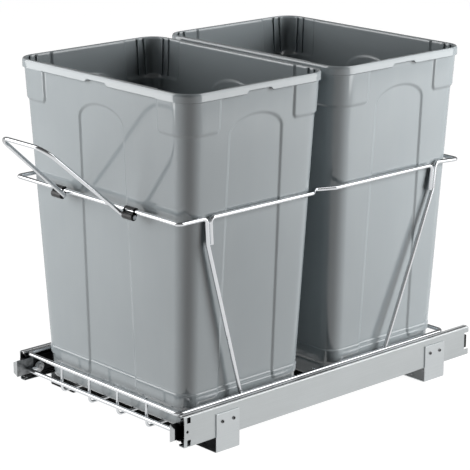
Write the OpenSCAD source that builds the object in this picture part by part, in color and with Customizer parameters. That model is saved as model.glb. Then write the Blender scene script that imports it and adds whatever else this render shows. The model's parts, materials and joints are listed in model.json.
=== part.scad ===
// Pull out bin frame: two bins in a wire carriage that rolls out on a pair of ball bearing slides.
// Millimetres. X across, Z up, the carriage opens toward -Y.
// The origin is the middle of the four floor brackets, on the cabinet floor.

/* [Slides] */
// Length of each cabinet and drawer member
slide_l = 559; // [520:1:620]
// Width over the outer faces of the two cabinet members
slide_span = 361; // [352:1:390]
// Height of the slides' lower edge above the cabinet floor
slide_lift = 21.2; // [18:0.1:30]
// Height of a cabinet member
cabinet_h = 43.6; // [42:0.1:50]
// Depth of a cabinet member's channel
cabinet_w = 11.4; // [11.2:0.1:11.8]
// Thickness of a whole slide
slide_w = 12.7; // [12.5:0.1:13.5]
// Depth of an intermediate member's channel
middle_w = 8.2; // [8.0:0.1:8.4]
// Sheet thickness of the slide members
sheet = 1.2; // [1.0:0.05:1.3]
// Outside bend radius of the slide members
bend_r = 1.8; // [1.5:0.1:2.2]
// Turned in edge of each channel, measured over its height
lip = 3; // [2.5:0.1:3.2]
// Gap between the webs of two nested members
web_gap = 1.2; // [1.0:0.05:1.4]
// Set back of the intermediate member behind the cabinet member's front end
middle_back = 2.5; // [1:0.5:6]
// Gap between the intermediate member and the rear stop
middle_stop_gap = 1; // [0.5:0.5:4]

/* [Slide balls and cages] */
// Ball diameter
ball_d = 3; // [2.6:0.1:3.2]
// Gap between a ball and each running face
ball_gap = 0.2; // [0.1:0.05:0.3]
// Balls in each row
ball_n = 9; // [6:1:11]
// Distance between the balls of a row
ball_pitch = 27; // [20:0.5:28]
// Cage sheet thickness
cage_t = 0.6; // [0.4:0.05:0.7]
// Cage length past the outermost balls, each end
cage_end = 17; // [8:1:25]
// Place of the cages' middle along the slides
cage_y = -7; // [-15:1:10]
// Cage edge past the ball centres
cage_lap = 2; // [1.8:0.05:2.1]
// Gap between a ball and its hole in the cage
cage_gap = 0.1; // [0.05:0.05:0.15]

/* [Cabinet member holes and stop] */
// Width of the square tool holes
tool_hole_w = 6; // [4:0.5:7]
// Height of the square tool holes
tool_hole_h = 8; // [5:0.5:8]
// Distance of the tool holes from the front end
tool_hole_y = 8; // [6:0.5:14]
// Distance of the tool holes above and below the middle
tool_hole_z = 15.8; // [13:0.1:16.5]
// Diameter of the front side screw hole
side_hole_d = 4; // [3:0.5:6]
// Distance of the side screw hole from the front end
side_hole_y = 5.5; // [5:0.5:12]
// Length of the notch in the rear end
end_notch_l = 9; // [7:0.5:11]
// Height of the notch in the rear end
end_notch_h = 26; // [20:0.5:28]
// Thickness of the stop along the slide
stop_t = 5; // [4:0.5:8]
// Height of the stop
stop_h = 24; // [23:0.5:30]
// Length of the stop's tongue in the notch
tongue_l = 4.5; // [3:0.5:6]
// Height of the stop's tongue
tongue_h = 19; // [14:0.5:19.5]
// Depth of the stop's tongue across the slide
tongue_w = 4; // [3:0.1:6]
// Gap between the stop and the closed drawer member
stop_gap = 0.5; // [0.3:0.1:1.5]
// Gap between the stop and the cabinet member
stop_fit = 0.2; // [0.1:0.05:0.3]

/* [Floor brackets] */
// Bracket height
bracket_h = 55; // [48:0.5:70]
// Bracket width along the slide
bracket_w = 41; // [34:0.5:60]
// Bracket sheet thickness
bracket_t = 2; // [1.5:0.1:3]
// Outside bend radius of the bracket
bracket_r = 3; // [2:0.1:4]
// Length of the bracket's foot across the cabinet
bracket_foot = 54; // [40:1:70]
// Distance of each bracket from the middle of the slides
bracket_y = 204; // [170:1:230]
// Distance of the floor screw holes from the bracket's outer face
floor_hole_in = 32; // [22:1:34]
// Distance between a bracket's two floor screw holes
floor_hole_gap = 24; // [16:1:28]
// Floor screw hole diameter
floor_hole_d = 5; // [4:0.5:6]
// Distance between a bracket's two slide screws
slide_screw_gap = 20; // [14:0.5:24]
// Slide screw shank diameter
slide_screw_d = 3; // [2.5:0.1:3.5]
// Slide screw head diameter
slide_head_d = 4.8; // [4.6:0.2:7]
// Slide screw head height
slide_head_h = 1.3; // [1.2:0.1:2]
// Socket width across corners in the screw heads
socket_d = 3; // [2.4:0.1:3.6]
// Socket depth in the slide screw heads
socket_h = 0.8; // [0.5:0.1:1]
// Gap between a screw shank and its hole
screw_fit = 0.1; // [0.05:0.05:0.2]

/* [Drawer member front] */
// Length of bare web in front of the drawer member's channel
nose_l = 11; // [8:0.5:14]
// Height of the bare web
nose_h = 24; // [18:0.5:24]
// Reach of the turned out tab
tab_w = 9; // [6:0.5:11]
// Height of the tab's free edge
tab_h = 16; // [10:0.5:18]

/* [Wire carriage] */
// Diameter of the frame wires
wire_d = 6; // [5:0.1:6.5]
// Diameter of the tray wires
tray_d = 4; // [3:0.1:5]
// Length of the rim between wire centres
rim_l = 514.5; // [512:0.5:530]
// Place of the rim's middle along the slides
rim_y = -18.75; // [-20:0.25:-16]
// Height of the rim's wire centre
rim_z = 63.5; // [60:0.5:72]
// Bend radius of the rim's corners
rim_r = 8; // [6:0.5:20]
// Gap between the rim wire and the drawer members
rim_gap = 0.3; // [0.2:0.1:1]
// Height of the lower end wires' centre
lower_z = 38.5; // [36:0.5:46]
// Bend radius of the lower end wires
lower_r = 6; // [4:0.5:8]
// Distance of the fixing eyes behind the end wires
eye_back = 20; // [18:0.5:30]
// Fixing eye diameter
eye_d = 16; // [14:0.5:18]
// Fixing eye thickness
eye_t = 3; // [2:0.1:3.5]
// Carriage screw shank diameter
eye_screw_d = 5; // [4:0.5:6]
// Carriage screw head diameter
eye_head_d = 10; // [8:0.5:10.5]
// Carriage screw head height
eye_head_h = 3.2; // [2:0.1:4]
// Socket depth in the carriage screw heads
eye_socket_h = 2; // [1:0.1:2.4]
// Length of the carriage screw inside the drawer member
eye_screw_in = 3; // [2:0.1:4]
// Height of the long tray wires' centre
tray_z = 24.9; // [23:0.1:27]
// Bend radius of the tray wires
tray_r = 6; // [5:0.5:10]
// Distance of the inner pair of long tray wires from the middle
tray_in = 31; // [24:1:44]
// Distance of the outer pair of long tray wires from the middle
tray_out = 93; // [70:1:120]
// Tray wire ends above the rim's wire centre
tray_over = 3.3; // [2:0.1:5]
// Distance between the cross wires
cross_gap = 137; // [110:1:150]
// Place of the middle cross wire along the slides
cross_y = -22; // [-30:1:-14]
// Gap left at each weld
weld_gap = 0.1; // [0.05:0.05:0.2]

/* [Guard hoops] */
// Width of the guards between wire centres
guard_span = 345; // [343.5:0.5:352]
// Height of the guards' wire centre
guard_z = 324; // [290:1:345]
// Front guard wire, distance in front of the origin
guard_front = 279; // [278.5:0.5:284]
// Rear guard wire, distance behind the origin
guard_rear = 251; // [248:0.5:258]
// Bend radius of the guards' corners
guard_r = 6; // [5:0.5:14]
// Bend radius where a guard turns down
drop_r = 7; // [6:0.5:9]
// Height of the upright part below each guard
drop_h = 36; // [28:1:44]
// Bend radius where the upright part meets the leg
leg_r = 24; // [12:1:30]
// Top of the front leg, distance in front of the origin
front_leg_top = 232; // [226:1:238]
// Bottom of the upright part of the front leg, distance in front of the origin
front_leg_mid = 230; // [224:1:236]
// Foot of the front leg, distance in front of the origin
front_leg_foot = 166; // [140:1:190]
// Top of the rear leg, distance behind the origin
rear_leg_top = 204.5; // [198:0.5:210]
// Bottom of the upright part of the rear leg, distance behind the origin
rear_leg_mid = 199.5; // [194:0.5:206]
// Foot of the rear leg, distance behind the origin
rear_leg_foot = 117; // [100:1:150]
// Rise of the rear guard's sides toward the legs
rear_rise = 3; // [0:0.5:5]
// Height of a leg's end above the rim wire it stands on
foot_gap = 1.2; // [1.1:0.1:2]
// Start of the side guard's inward bend, distance in front of the origin
dip_front = 40; // [38:0.5:46]
// Deepest place of the inward bend, distance in front of the origin
dip_mid = 26; // [22:0.5:28]
// End of the inward bend, distance behind the origin
dip_rear = 4; // [2:0.5:12]
// Depth of the inward bend
dip_in = 13; // [8:0.5:14]
// Bend radius of the inward bend
dip_r = 7; // [5:0.5:8]

/* [Handle and clips] */
// Length of the handle from its pivot to its grip
handle_l = 154; // [110:1:180]
// Rest angle of the handle above level
handle_up = 41.8; // [10:0.1:50]
// Half width of the handle at its pivot ends
handle_low = 60; // [54:0.5:62]
// Half width of the handle at its grip
handle_top = 49; // [40:0.5:56]
// Bend radius at the grip's corners
grip_r = 24; // [12:1:30]
// Bend radius at the pivot ends
pin_r = 5; // [4.5:0.1:5]
// Pivot line in front of the front guard wire
pivot_out = 3.2; // [3:0.1:5]
// Pivot line below the front guard wire
pivot_down = 6.8; // [6.6:0.1:9]
// Distance of the clips from the middle
clip_x = 76; // [75:0.5:90]
// Clip length
clip_l = 20; // [14:0.5:20]
// Wall of the clip's two jaws
clip_wall = 2.2; // [1.8:0.1:2.6]
// Running clearance between the pivot ends and the clips
pivot_fit = 0.06; // [0.02:0.01:0.1]
// Gap between the clips and the guard wire
clip_fit = 0.05; // [0.02:0.01:0.1]
// Width of each jaw's mouth
clip_mouth = 4.4; // [3:0.1:5]
// Handle wire past the outer end of each clip
pin_over = 2; // [1:0.5:6]

/* [Bins] */
// Bin width over its rim
bin_w = 363; // [355:0.5:366]
// Bin depth over its rim
bin_d = 255; // [248:0.5:258]
// Bin height
bin_h = 460; // [420:1:500]
// Gap between the two rims
bin_gap = 16.4; // [12:0.1:20]
// Place of the gap's middle along the slides
bin_y = -10.9; // [-13:0.1:-10]
// Gap between a bin and the tray
bin_seat = 0.2; // [0.1:0.05:0.3]
// Wall thickness
bin_t = 2.5; // [2:0.1:3]
// Rim overhang across the bin
rim_over_x = 3.6; // [3.4:0.1:6]
// Rim overhang along the slides
rim_over_y = 5.3; // [5:0.1:8]
// Taper of each side wall over the bin's height
taper_x = 27.4; // [26:0.1:32]
// Taper of each end wall over the bin's height
taper_y = 16; // [15:0.1:20]
// Corner radius of the wall at the rim
corner_top = 25.5; // [22:0.5:32]
// Corner radius of the wall at the floor
corner_low = 23; // [18:0.5:26]
// Height of the rim band
band_h = 12.3; // [9:0.1:16]
// Corner radius of the rim band
band_r = 30; // [26:0.5:36]
// Thickness of the rim's turned down edge
band_t = 2.2; // [1.8:0.1:2.6]
// Length of the notch in the rim's lower edge
notch_w = 39; // [24:0.5:60]
// Height of the notch
notch_h = 4; // [2:0.1:6]
// Reach of each corner pad along the rim
pad_w = 62; // [50:0.5:70]
// Height of the corner pads, rim band included
pad_h = 57.5; // [40:0.5:70]
// Depth of the corner pads
pad_out = 2.8; // [2.6:0.1:3.2]
// Radius of the pads' lower corners
pad_r = 8; // [4:0.5:12]
// Width of the ribs in the corner pockets
rib_w = 2.6; // [2:0.1:4]
// First rib from the corner
rib_near = 25; // [22:0.5:28]
// Second rib from the corner
rib_far = 37; // [34:0.5:42]
// Half width of the arched panels at the top
arch_top = 46; // [36:0.5:49]
// Half width of the arched panels at the step
arch_low = 50; // [47:0.5:56]
// Distance of the arch's crown below the rim
arch_down = 40.5; // [30:0.5:60]
// Rise of the arch
arch_rise = 24; // [16:0.5:28]
// Depth of the arched panels and of the lower wall
panel_in = 2; // [1:0.1:3]
// Height of the step above the bin's floor
step_up = 46; // [30:0.5:60]
// Height of the step's sloped face
step_h = 7; // [4:0.5:9]
// Radius between the arched panel and the step
step_r = 15; // [8:0.5:20]
// Bevel round the bin's floor
floor_bevel = 4; // [2:0.5:6]

/* [Hidden] */
round_n = 48;
wire_n = 32;
bin_n = 48;
eps = 0.01;
past = 20;
// Each bend is this much fuller than its wire, and the straight parts run this far into it
bend_full = 0.02;
bend_lap = 0.3;
// Slices that the bin's walls are stretched between, the depth to which one form runs into
// the next, and the steps of its arches
slab_t = 0.5;
into = 2;
arch_n = 24;
foot_n = 6;
foot_a = 75;
// Slide section, right hand side
out_x = slide_span / 2;
mid_z = slide_lift + cabinet_h / 2;
step_section = sheet + ball_d + 2 * ball_gap;
middle_h = cabinet_h - 2 * step_section;
drawer_h = middle_h - 2 * step_section;
middle_x = out_x - sheet - web_gap;
drawer_x = middle_x - sheet - web_gap;
drawer_in = out_x - slide_w;
drawer_w = drawer_x - drawer_in;
front_y = -slide_l / 2;
rear_y = slide_l / 2;
notch_y = rear_y - end_notch_l;
stop_y = notch_y - stop_t;
drawer_rear = stop_y - stop_gap;
drawer_front = drawer_rear - slide_l;
middle_front = front_y + middle_back;
middle_rear = stop_y - middle_stop_gap;
cage_l = (ball_n - 1) * ball_pitch + 2 * cage_end;
outer_ball_x = middle_x - middle_w / 2;
outer_ball_z = cabinet_h / 2 - sheet - ball_gap - ball_d / 2;
outer_cage_x = out_x - sheet - web_gap / 2;
inner_ball_x = (middle_x - middle_w + sheet + drawer_x) / 2;
inner_ball_z = middle_h / 2 - sheet - ball_gap - ball_d / 2;
inner_cage_x = middle_x - sheet - web_gap / 2;
// Brackets
bracket_x = out_x + bracket_t;
floor_hole_x = bracket_x - floor_hole_in;
// Wire carriage
rim_x = drawer_in - rim_gap - wire_d / 2;
rim_front = rim_y - rim_l / 2;
rim_rear = rim_y + rim_l / 2;
eye_front = rim_front + eye_back;
eye_rear = rim_rear - eye_back;
eye_x = drawer_in - eye_t;
weld = (wire_d + tray_d) / 2 + weld_gap;
tray_top = rim_z + tray_over;
cross_z = tray_z + tray_d + weld_gap;
cross_x = rim_x - weld;
// Guards
guard_x = guard_span / 2;
drop_z = guard_z - drop_h;
foot_z = rim_z + wire_d / 2 + foot_gap;
front_lean = (front_leg_top - front_leg_mid) / drop_h;
rear_lean = (rear_leg_top - rear_leg_mid) / (drop_h + rear_rise);
front_stub = (wire_d + weld_gap) / cos(atan(front_lean)) - front_leg_mid;
rear_stub = rear_leg_mid - (wire_d + weld_gap) / cos(atan(rear_lean));
// Handle
pivot_y = -guard_front - pivot_out;
pivot_z = guard_z - pivot_down;
jaw_r = wire_d / 2 + clip_wall;
// Bins
bin_z = cross_z + tray_d / 2 + bin_seat;
bin_top = bin_z + bin_h;
front_bin_y = bin_y - bin_gap / 2 - bin_d / 2;
rear_bin_y = bin_y + bin_gap / 2 + bin_d / 2;
pad_z = bin_top - pad_h;
step_z = bin_z + step_up;
crown_z = bin_top - arch_down;
arch_r = (arch_top * arch_top + arch_rise * arch_rise) / (2 * arch_rise);

// Wire paths

function unit(v) = v / norm(v);
function turn(a, b, c) = acos(max(-1, min(1, unit(b - a) * unit(c - b))));
function setback(a, b, c, r) = r * tan(turn(a, b, c) / 2);

module rod(a, b, d) {
  v = b - a;
  translate(a)
    rotate([0, acos(v[2] / norm(v)), atan2(v[1], v[0])])
      cylinder(d = d, h = norm(v), $fn = wire_n);
}

module bend(a, b, c, r, d) {
  u = unit(b - a);
  w = unit(c - b);
  angle = turn(a, b, c);
  o = b + unit(w - u) * r / cos(angle / 2);
  e = unit(b - u * setback(a, b, c, r) - o);
  n = cross(e, u);
  multmatrix([
    [e[0], u[0], n[0], o[0]],
    [e[1], u[1], n[1], o[1]],
    [e[2], u[2], n[2], o[2]],
    [0, 0, 0, 1]
  ])
    rotate_extrude(angle = angle, $fn = round_n)
      translate([r, 0])
        circle(d = d + 2 * bend_full, $fn = wire_n);
}

// A bent wire through points p with bend radius r[i] at point i
module wire(p, r, d, closed = false) {
  n = len(p);
  last = closed ? n - 1 : n - 2;
  for (i = [0 : last]) {
    a = p[i];
    b = p[(i + 1) % n];
    s0 = i == 0 && !closed ? 0 : setback(p[(i + n - 1) % n], a, b, r[i]) - bend_lap;
    s1 = i == last && !closed ? 0 : setback(a, b, p[(i + 2) % n], r[(i + 1) % n]) - bend_lap;
    u = unit(b - a);
    rod(a + u * s0, b - u * s1, d);
  }
  for (i = [0 : n - 1])
    if (closed || (i > 0 && i < n - 1))
      bend(p[(i + n - 1) % n], p[i], p[(i + 1) % n], r[i], d);
}

function flip(p) = [-p[0], p[1], p[2]];
function flipped(p) = [for (i = [len(p) - 1 : -1 : 0]) flip(p[i])];
function backward(r) = [for (i = [len(r) - 1 : -1 : 0]) r[i]];

module left_hand() {
  mirror([1, 0, 0]) children();
}

module both_hands() {
  children();
  left_hand() children();
}

// Slides

module rounded(w, h, r, n) {
  square([w - 2 * r, h], center = true);
  square([w, h - 2 * r], center = true);
  for (sx = [-1, 1], sy = [-1, 1])
    translate([sx * (w / 2 - r), sy * (h / 2 - r)])
      circle(r = r, $fn = n);
}

// Lipped channel section, open toward -X
module channel(w, h) {
  difference() {
    rounded(w, h, bend_r, round_n);
    rounded(w - 2 * sheet, h - 2 * sheet, bend_r - sheet, round_n);
    translate([-w / 2, 0])
      square([3 * sheet, h - 2 * lip], center = true);
  }
}

// Stands a section drawn in X and Z along Y between two places
module along(y0, y1) {
  translate([0, y1, mid_z])
    rotate([90, 0, 0])
      linear_extrude(y1 - y0)
        children();
}

module across_hole(y, z, d, x0, x1) {
  translate([x0, y, z])
    rotate([0, 90, 0])
      cylinder(d = d, h = x1 - x0, $fn = round_n);
}

module cabinet_member() {
  color([0.74, 0.75, 0.76])
    difference() {
      along(front_y, rear_y)
        translate([out_x - cabinet_w / 2, 0])
          channel(cabinet_w, cabinet_h);
      for (s = [-1, 1])
        translate([out_x, front_y + tool_hole_y, mid_z + s * tool_hole_z])
          cube([3 * sheet, tool_hole_w, tool_hole_h], center = true);
      across_hole(front_y + side_hole_y, mid_z, side_hole_d, out_x - 2 * sheet, out_x + sheet);
      translate([out_x, notch_y + end_notch_l, mid_z])
        cube([3 * sheet, 2 * end_notch_l, end_notch_h], center = true);
      for (b = [-1, 1], s = [-1, 1])
        across_hole(b * bracket_y + s * slide_screw_gap / 2, mid_z,
          slide_screw_d + 2 * screw_fit, out_x - 2 * sheet, out_x + sheet);
    }
}

module intermediate_member() {
  color([0.66, 0.67, 0.68])
    along(middle_front, middle_rear)
      translate([middle_x - middle_w / 2, 0])
        channel(middle_w, middle_h);
}

module drawer_member() {
  color([0.78, 0.79, 0.8])
    difference() {
      union() {
        along(drawer_front + nose_l, drawer_rear)
          translate([drawer_in + drawer_w / 2, 0])
            mirror([1, 0])
              channel(drawer_w, drawer_h);
        translate([drawer_in, drawer_front, mid_z - nose_h / 2])
          cube([sheet, nose_l + eps, nose_h]);
        along(drawer_front, drawer_front + sheet)
          polygon([
            [drawer_in, -nose_h / 2],
            [drawer_in + tab_w, -tab_h / 2],
            [drawer_in + tab_w, tab_h / 2],
            [drawer_in, nose_h / 2]
          ]);
      }
      for (y = [eye_front, eye_rear])
        across_hole(y, lower_z, eye_screw_d + 2 * screw_fit, drawer_in - sheet, drawer_in + 2 * sheet);
    }
}

// U shaped ball cage with its web at web_x and its ball rows at row_x, row_z
module cage(web_x, row_x, row_z) {
  color([0.2, 0.2, 0.21])
    difference() {
      along(cage_y - cage_l / 2, cage_y + cage_l / 2)
        union() {
          translate([web_x - cage_t / 2, -row_z - cage_t / 2])
            square([cage_t, 2 * row_z + cage_t]);
          for (s = [-1, 1])
            translate([row_x - cage_lap, s * row_z - cage_t / 2])
              square([web_x + cage_t / 2 - row_x + cage_lap, cage_t]);
        }
      for (i = [0 : ball_n - 1])
        translate([row_x, cage_y + (i - (ball_n - 1) / 2) * ball_pitch, mid_z - row_z - ball_d])
          cylinder(d = ball_d + 2 * cage_gap, h = 2 * (row_z + ball_d), $fn = round_n);
    }
}

module balls(row_x, row_z) {
  color([0.85, 0.86, 0.87])
    for (i = [0 : ball_n - 1], s = [-1, 1])
      translate([row_x, cage_y + (i - (ball_n - 1) / 2) * ball_pitch, mid_z + s * row_z])
        sphere(d = ball_d, $fn = wire_n);
}

module rear_stop() {
  color([0.08, 0.08, 0.08]) {
    translate([drawer_in + slide_w - cabinet_w + sheet + stop_fit, stop_y, mid_z - stop_h / 2])
      cube([cabinet_w - 2 * sheet - stop_fit, stop_t, stop_h]);
    translate([out_x - tongue_w, notch_y + stop_fit, mid_z - tongue_h / 2])
      cube([tongue_w, tongue_l - stop_fit, tongue_h]);
    translate([out_x - tongue_w, notch_y - stop_t / 2, mid_z - tongue_h / 2])
      cube([tongue_w - sheet - stop_fit, (stop_t + tongue_l) / 2, tongue_h]);
  }
}

// Brackets

module bracket(y) {
  color([0.74, 0.75, 0.76])
    difference() {
      translate([0, y + bracket_w / 2, 0])
        rotate([90, 0, 0])
          linear_extrude(bracket_w)
            difference() {
              translate([bracket_x - bracket_foot, 0])
                union() {
                  square([bracket_foot - bracket_r, bracket_h]);
                  translate([0, bracket_r])
                    square([bracket_foot, bracket_h - bracket_r]);
                  translate([bracket_foot - bracket_r, bracket_r])
                    circle(r = bracket_r, $fn = round_n);
                }
              translate([bracket_x - bracket_foot - bracket_t, bracket_t])
                square([bracket_foot, bracket_h]);
            }
      for (s = [-1, 1]) {
        across_hole(y + s * slide_screw_gap / 2, mid_z, slide_screw_d + 2 * screw_fit,
          out_x - bracket_t, bracket_x + bracket_t);
        translate([floor_hole_x, y + s * floor_hole_gap / 2, -bracket_t])
          cylinder(d = floor_hole_d, h = 3 * bracket_t, $fn = round_n);
      }
    }
}

module slide_screws() {
  color([0.55, 0.56, 0.57])
    both_hands()
      for (b = [-1, 1], s = [-1, 1])
        translate([0, b * bracket_y + s * slide_screw_gap / 2, mid_z])
          rotate([0, 90, 0])
            difference() {
              union() {
                translate([0, 0, out_x - sheet])
                  cylinder(d = slide_screw_d, h = sheet + bracket_t + eps, $fn = round_n);
                translate([0, 0, bracket_x])
                  cylinder(d = slide_head_d, h = slide_head_h, $fn = round_n);
              }
              translate([0, 0, bracket_x + slide_head_h - socket_h])
                cylinder(d = socket_d, h = 2 * socket_h, $fn = 6);
            }
}

// Wire carriage

module rim_wire() {
  color([0.86, 0.87, 0.88])
    wire(
      [
        [rim_x, rim_front, rim_z],
        [rim_x, rim_rear, rim_z],
        [-rim_x, rim_rear, rim_z],
        [-rim_x, rim_front, rim_z]
      ],
      [rim_r, rim_r, rim_r, rim_r], wire_d, true);
}

// End wire at place y with its fixing eyes at place e
module lower_wire(y, e) {
  inward = e > y ? 1 : -1;
  tip = e - inward * (eye_head_d / 2 + foot_gap / 2);
  color([0.86, 0.87, 0.88])
    difference() {
      union() {
        wire(
          [[rim_x, tip, lower_z], [rim_x, y, lower_z], [-rim_x, y, lower_z], [-rim_x, tip, lower_z]],
          [0, lower_r, lower_r, 0], wire_d);
        both_hands()
          across_hole(e, lower_z, eye_d, eye_x, drawer_in);
      }
      both_hands()
        across_hole(e, lower_z, eye_screw_d + 2 * screw_fit, eye_x - wire_d, drawer_in + sheet);
      both_hands()
        across_hole(e, lower_z, eye_head_d + foot_gap, eye_x - wire_d, eye_x);
    }
}

module carriage_screws() {
  color([0.6, 0.61, 0.62])
    both_hands()
      for (y = [eye_front, eye_rear])
        difference() {
          union() {
            across_hole(y, lower_z, eye_screw_d, eye_x - eps, drawer_in + sheet + eye_screw_in);
            across_hole(y, lower_z, eye_head_d, eye_x - eye_head_h, eye_x);
          }
          translate([eye_x - eye_head_h - eye_socket_h, y, lower_z])
            rotate([0, 90, 0])
              cylinder(d = socket_d, h = 2 * eye_socket_h, $fn = 6);
        }
}

module long_tray_wires() {
  y0 = rim_front + weld;
  y1 = rim_rear - weld;
  color([0.86, 0.87, 0.88])
    for (x = [-tray_out, -tray_in, tray_in, tray_out])
      wire(
        [[x, y0, tray_top], [x, y0, tray_z], [x, y1, tray_z], [x, y1, tray_top]],
        [0, tray_r, tray_r, 0], tray_d);
}

module cross_tray_wires() {
  color([0.86, 0.87, 0.88])
    for (i = [-1, 0, 1])
      let (y = cross_y + i * cross_gap)
        wire(
          [[cross_x, y, tray_top], [cross_x, y, cross_z], [-cross_x, y, cross_z], [-cross_x, y, tray_top]],
          [0, tray_r, tray_r, 0], tray_d);
}

// Guards

module front_guard() {
  side = [
    [rim_x, -front_leg_foot, foot_z],
    [guard_x, -front_leg_mid, drop_z],
    [guard_x, -front_leg_top, guard_z],
    [guard_x, -guard_front, guard_z]
  ];
  radii = [0, leg_r, drop_r, guard_r];
  color([0.86, 0.87, 0.88])
    wire(concat(side, flipped(side)), concat(radii, backward(radii)), wire_d);
}

module rear_guard() {
  side = [
    [rim_x, rear_leg_foot, foot_z],
    [guard_x, rear_leg_mid, drop_z],
    [guard_x, rear_leg_top, guard_z + rear_rise],
    [guard_x, guard_rear, guard_z]
  ];
  radii = [0, leg_r, drop_r, guard_r];
  color([0.86, 0.87, 0.88])
    wire(concat(side, flipped(side)), concat(radii, backward(radii)), wire_d);
}

// The stubs at both ends stand beside the upright parts of the legs
module side_guard() {
  color([0.86, 0.87, 0.88])
    wire(
      [
        [guard_x, front_stub, drop_z],
        [guard_x, front_stub - front_lean * drop_h, guard_z],
        [guard_x, -dip_front, guard_z],
        [guard_x - dip_in, -dip_mid, guard_z],
        [guard_x, dip_rear, guard_z],
        [guard_x, rear_stub + rear_lean * drop_h, guard_z],
        [guard_x, rear_stub, drop_z]
      ],
      [0, drop_r, dip_r, dip_r, dip_r, drop_r, 0], wire_d);
}

// Handle

module clip() {
  color([0.05, 0.05, 0.05])
    translate([clip_x - clip_l / 2, 0, 0])
      rotate([90, 0, 90])
        linear_extrude(clip_l)
          difference() {
            union() {
              translate([-guard_front, guard_z])
                circle(r = jaw_r, $fn = round_n);
              translate([pivot_y, pivot_z])
                circle(r = jaw_r, $fn = round_n);
            }
            translate([-guard_front, guard_z])
              circle(d = wire_d + 2 * clip_fit, $fn = round_n);
            translate([-guard_front - past, guard_z - clip_mouth / 2])
              square([past, clip_mouth]);
            translate([pivot_y, pivot_z])
              circle(d = wire_d + 2 * pivot_fit, $fn = round_n);
            translate([pivot_y, pivot_z - clip_mouth / 2])
              square([past, clip_mouth]);
          }
}

module handle() {
  out = clip_x + clip_l / 2 + pin_over;
  side = [[out, 0, 0], [handle_low, 0, 0], [handle_top, handle_l, 0]];
  radii = [0, pin_r, grip_r];
  color([0.86, 0.87, 0.88])
    translate([0, pivot_y, pivot_z])
      rotate([180 - handle_up, 0, 0])
        wire(concat(side, flipped(side)), concat(radii, backward(radii)), wire_d);
}

// Bins

function fall(z) = (bin_top - z) / bin_h;

// Slice of the wall's outline standing on height z, moved in by inset
module slab(z, inset) {
  w = bin_w - 2 * (rim_over_x + taper_x * fall(z) + inset);
  d = bin_d - 2 * (rim_over_y + taper_y * fall(z) + inset);
  r = corner_top + (corner_low - corner_top) * fall(z) - inset;
  for (sx = [-1, 1], sy = [-1, 1])
    translate([sx * (w / 2 - r), sy * (d / 2 - r), z])
      cylinder(r = r, h = slab_t, $fn = bin_n);
}

function turned_out(a, low, foot, s) =
  [s * (low + step_r * (1 - cos(a))), foot + step_r * (1 - sin(a))];

// Arched panel outline in width and height, widened by grow. Its feet turn out into the step.
module arch(grow) {
  low = arch_low + grow;
  r = arch_r + grow;
  half = asin((arch_top + grow) / r);
  foot = step_z - step_h;
  crown = [for (i = [0 : arch_n]) let (a = half * (1 - 2 * i / arch_n))
    [r * sin(a), crown_z - arch_r + r * cos(a)]];
  right_foot = [for (i = [0 : foot_n]) turned_out(foot_a * (1 - i / foot_n), low, foot, 1)];
  left_foot = [for (i = [0 : foot_n]) turned_out(foot_a * i / foot_n, low, foot, -1)];
  out = right_foot[0][0];
  below = foot - 2 * into;
  polygon(concat([[-out, below], [out, below]], right_foot, crown, left_foot));
}

module through_y() {
  rotate([90, 0, 0])
    linear_extrude(bin_d, center = true)
      children();
}

module through_x() {
  rotate([90, 0, 90])
    linear_extrude(bin_w, center = true)
      children();
}

// Pad outline from reach outward on side s, with a rounded lower corner
module pad_outline(s, reach, z) {
  mirror([s < 0 ? 1 : 0, 0]) {
    translate([reach, z + pad_r])
      square([bin_w, pad_h]);
    translate([reach + pad_r, z])
      square([bin_w, pad_h]);
    translate([reach + pad_r, z + pad_r])
      circle(r = pad_r, $fn = round_n);
  }
}

module pads(inset) {
  for (sx = [-1, 1], sy = [-1, 1])
    intersection() {
      hull() {
        slab(pad_z - pad_r, inset - pad_out);
        slab(bin_top + into, inset - pad_out);
      }
      through_y()
        pad_outline(sx, bin_w / 2 - pad_w + inset, pad_z + inset);
      through_x()
        pad_outline(sy, bin_d / 2 - pad_w + inset, pad_z + inset);
    }
}

module ribs() {
  for (s = [-1, 1], r = [rib_near, rib_far]) {
    translate([s * (bin_w / 2 - r), 0, bin_top])
      cube([rib_w, bin_d, 2 * pad_h], center = true);
    translate([0, s * (bin_d / 2 - r), bin_top])
      cube([bin_w, rib_w, 2 * pad_h], center = true);
  }
}

// Solid form of the bin, moved in by inset. It runs past the rim's top.
module form(inset) {
  foot = step_z - step_h;
  slope = panel_in / step_h;
  hull() {
    slab(bin_z + inset, panel_in + inset + floor_bevel);
    slab(bin_z + inset + floor_bevel, panel_in + inset);
    slab(bin_top + into, panel_in + inset);
  }
  difference() {
    hull() {
      slab(foot - into, panel_in + into * slope + inset);
      slab(step_z, inset);
      slab(bin_top + into, inset);
    }
    through_y() arch(inset);
    through_x() arch(inset);
  }
}

// Space under the rim, between the corner pads
module under_rim() {
  intersection() {
    translate([0, 0, bin_top - band_h - into])
      linear_extrude(band_h - band_t + into)
        rounded(bin_w - 2 * band_t, bin_d - 2 * band_t, band_r - band_t, bin_n);
    translate([0, 0, bin_top]) {
      cube([bin_w - 2 * (pad_w + into), bin_d, 2 * pad_h], center = true);
      cube([bin_w, bin_d - 2 * (pad_w + into), 2 * pad_h], center = true);
    }
  }
}

module rim_band() {
  edge = bin_top - band_h;
  difference() {
    translate([0, 0, edge])
      linear_extrude(band_h + into)
        rounded(bin_w, bin_d, band_r, bin_n);
    under_rim();
    for (turned = [0, 90])
      rotate(turned)
        rotate([90, 0, 0])
          linear_extrude(bin_w + bin_d, center = true)
            polygon([
              [-notch_w / 2 - notch_h - into, edge - into],
              [notch_w / 2 + notch_h + into, edge - into],
              [notch_w / 2, edge + notch_h],
              [-notch_w / 2, edge + notch_h]
            ]);
  }
}

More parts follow.
